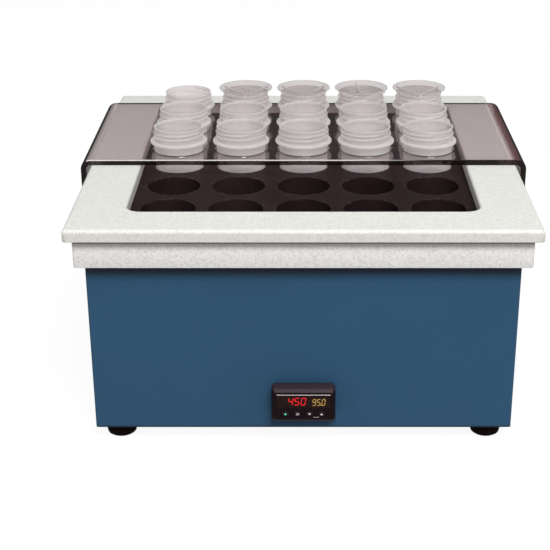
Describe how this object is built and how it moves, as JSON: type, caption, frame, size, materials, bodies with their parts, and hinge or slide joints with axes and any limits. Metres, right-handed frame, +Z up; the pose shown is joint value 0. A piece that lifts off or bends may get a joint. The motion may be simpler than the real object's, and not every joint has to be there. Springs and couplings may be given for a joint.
{
  "type": "block digester",
  "caption": "Bench block digester: painted housing, speckled solid-surface top frame, dark heating block with a grid of wells, and a bent smoked rack that lifts out its sample cups.",
  "frame": {"origin": "on the floor under the centre of the top frame", "axes": "+Z up, the controller faces -Y, +X to the right seen from the front"},
  "size_m": [0.3712, 0.3572, 0.214],
  "materials": {
    "solid_surface": "speckled honed",
    "solid_surface_band": "speckled honed",
    "blue_paint": "fine powder coat",
    "grey_paint": "satin",
    "rubber_black": "matte",
    "zinc_steel": "zinc plated",
    "coated_block": "matte non-stick coating",
    "silicone": "matte",
    "heater_orange": "matte",
    "bare_aluminium": "mill",
    "insulation": "fibrous",
    "steel": "brushed",
    "black_plastic": "moulded",
    "bezel_plastic": "fine moulded",
    "window_plastic": "polished",
    "board_green": "solder mask",
    "key_rubber": "satin",
    "fuse_glass": "clear",
    "cream_plastic": "moulded",
    "wire_insulation": "satin",
    "smoked_polycarbonate": "polished",
    "polypropylene": "translucent",
    "polypropylene_clear": "translucent"
  },
  "bodies": {
    "root": {"top_frame": "solid_surface", "skirt_band": "solid_surface_band", "housing": "blue_paint", "base_plate": "grey_paint", "feet": "rubber_black", "foot_screws": "zinc_steel", "foot_nuts": "zinc_steel", "base_screws": "zinc_steel", "heating_block": "coated_block", "block_gasket": "silicone", "heater_mat": "heater_orange", "heater_clamp_plate": "bare_aluminium", "clamp_screws": "zinc_steel", "bottom_insulation": "insulation", "side_insulation": "insulation", "insulation_tray": "steel", "support_pillars": "steel", "temperature_probe": "steel", "overheat_cutout": "black_plastic", "controller_bezel": "bezel_plastic", "controller_window": "window_plastic", "controller_gasket": "silicone", "controller_case": "black_plastic", "display_board": "board_green", "controller_clamp": "black_plastic", "power_inlet": "black_plastic", "inlet_pins": "zinc_steel", "switch_frame": "black_plastic", "relay_heat_sink": "bare_aluminium", "solid_state_relay": "cream_plastic", "terminal_block": "cream_plastic", "wiring": "wire_insulation"},
    "rack": {"cup_rack": "smoked_polycarbonate"},
    "cup_front_1": {"cup_front_1": "polypropylene"},
    "cup_front_2": {"cup_front_2": "polypropylene"},
    "cup_front_3": {"cup_front_3": "polypropylene"},
    "cup_front_4": {"cup_front_4": "polypropylene"},
    "cup_front_5": {"cup_front_5": "polypropylene"},
    "cup_middle_1": {"cup_middle_1": "polypropylene"},
    "cup_middle_2": {"cup_middle_2": "polypropylene"},
    "cup_middle_3": {"cup_middle_3": "polypropylene"},
    "cup_middle_4": {"cup_middle_4": "polypropylene"},
    "cup_middle_5": {"cup_middle_5": "polypropylene"},
    "cup_back_1": {"cup_back_1": "polypropylene"},
    "cup_back_2": {"cup_back_2": "polypropylene"},
    "cup_back_3": {"cup_back_3": "polypropylene"},
    "cup_back_4": {"cup_back_4": "polypropylene"},
    "cup_back_5": {"cup_back_5": "polypropylene"},
    "watch_glass_2": {"watch_glass_2": "polypropylene_clear"},
    "watch_glass_3": {"watch_glass_3": "polypropylene_clear"},
    "watch_glass_4": {"watch_glass_4": "polypropylene_clear"},
    "watch_glass_5": {"watch_glass_5": "polypropylene_clear"},
    "key_function": {"key_function": "key_rubber"},
    "key_advance": {"key_advance": "key_rubber"},
    "key_down": {"key_down": "key_rubber"},
    "key_up": {"key_up": "key_rubber"},
    "fuse_drawer": {"fuse_drawer": "black_plastic", "fuse": "fuse_glass"},
    "rocker": {"rocker": "black_plastic"}
  },
  "joints": [
    {"name": "rack_lift", "type": "slide", "parent": "root", "child": "rack", "axis": [0, 0, 1], "range_m": [0, 0.12]},
    {"name": "cup_front_1_lift", "type": "slide", "parent": "rack", "child": "cup_front_1", "axis": [0, 0, 1], "range_m": [0, 0.11]},
    {"name": "cup_front_2_lift", "type": "slide", "parent": "rack", "child": "cup_front_2", "axis": [0, 0, 1], "range_m": [0, 0.11]},
    {"name": "cup_front_3_lift", "type": "slide", "parent": "rack", "child": "cup_front_3", "axis": [0, 0, 1], "range_m": [0, 0.11]},
    {"name": "cup_front_4_lift", "type": "slide", "parent": "rack", "child": "cup_front_4", "axis": [0, 0, 1], "range_m": [0, 0.11]},
    {"name": "cup_front_5_lift", "type": "slide", "parent": "rack", "child": "cup_front_5", "axis": [0, 0, 1], "range_m": [0, 0.11]},
    {"name": "cup_middle_1_lift", "type": "slide", "parent": "rack", "child": "cup_middle_1", "axis": [0, 0, 1], "range_m": [0, 0.11]},
    {"name": "cup_middle_2_lift", "type": "slide", "parent": "rack", "child": "cup_middle_2", "axis": [0, 0, 1], "range_m": [0, 0.11]},
    {"name": "cup_middle_3_lift", "type": "slide", "parent": "rack", "child": "cup_middle_3", "axis": [0, 0, 1], "range_m": [0, 0.11]},
    {"name": "cup_middle_4_lift", "type": "slide", "parent": "rack", "child": "cup_middle_4", "axis": [0, 0, 1], "range_m": [0, 0.11]},
    {"name": "cup_middle_5_lift", "type": "slide", "parent": "rack", "child": "cup_middle_5", "axis": [0, 0, 1], "range_m": [0, 0.11]},
    {"name": "cup_back_1_lift", "type": "slide", "parent": "rack", "child": "cup_back_1", "axis": [0, 0, 1], "range_m": [0, 0.11]},
    {"name": "cup_back_2_lift", "type": "slide", "parent": "rack", "child": "cup_back_2", "axis": [0, 0, 1], "range_m": [0, 0.11]},
    {"name": "cup_back_3_lift", "type": "slide", "parent": "rack", "child": "cup_back_3", "axis": [0, 0, 1], "range_m": [0, 0.11]},
    {"name": "cup_back_4_lift", "type": "slide", "parent": "rack", "child": "cup_back_4", "axis": [0, 0, 1], "range_m": [0, 0.11]},
    {"name": "cup_back_5_lift", "type": "slide", "parent": "rack", "child": "cup_back_5", "axis": [0, 0, 1], "range_m": [0, 0.11]},
    {"name": "watch_glass_2_lift", "type": "slide", "parent": "cup_back_2", "child": "watch_glass_2", "axis": [0, 0, 1], "range_m": [0, 0.03]},
    {"name": "watch_glass_3_lift", "type": "slide", "parent": "cup_back_3", "child": "watch_glass_3", "axis": [0, 0, 1], "range_m": [0, 0.03]},
    {"name": "watch_glass_4_lift", "type": "slide", "parent": "cup_back_4", "child": "watch_glass_4", "axis": [0, 0, 1], "range_m": [0, 0.03]},
    {"name": "watch_glass_5_lift", "type": "slide", "parent": "cup_back_5", "child": "watch_glass_5", "axis": [0, 0, 1], "range_m": [0, 0.03]},
    {"name": "key_function_press", "type": "slide", "parent": "root", "child": "key_function", "axis": [0, 1, 0], "range_m": [0, 0.0007], "stiffness_N_per_m": 400},
    {"name": "key_advance_press", "type": "slide", "parent": "root", "child": "key_advance", "axis": [0, 1, 0], "range_m": [0, 0.0007], "stiffness_N_per_m": 400},
    {"name": "key_down_press", "type": "slide", "parent": "root", "child": "key_down", "axis": [0, 1, 0], "range_m": [0, 0.0007], "stiffness_N_per_m": 400},
    {"name": "key_up_press", "type": "slide", "parent": "root", "child": "key_up", "axis": [0, 1, 0], "range_m": [0, 0.0007], "stiffness_N_per_m": 400},
    {"name": "fuse_drawer_slide", "type": "slide", "parent": "root", "child": "fuse_drawer", "axis": [0, 1, 0], "range_m": [0, 0.024]},
    {"name": "power_rocker", "type": "hinge", "parent": "root", "child": "rocker", "pos_m": [-0.066, 0.1644, 0.052], "axis": [1, 0, 0], "range_deg": [-18, 0]}
  ]
}
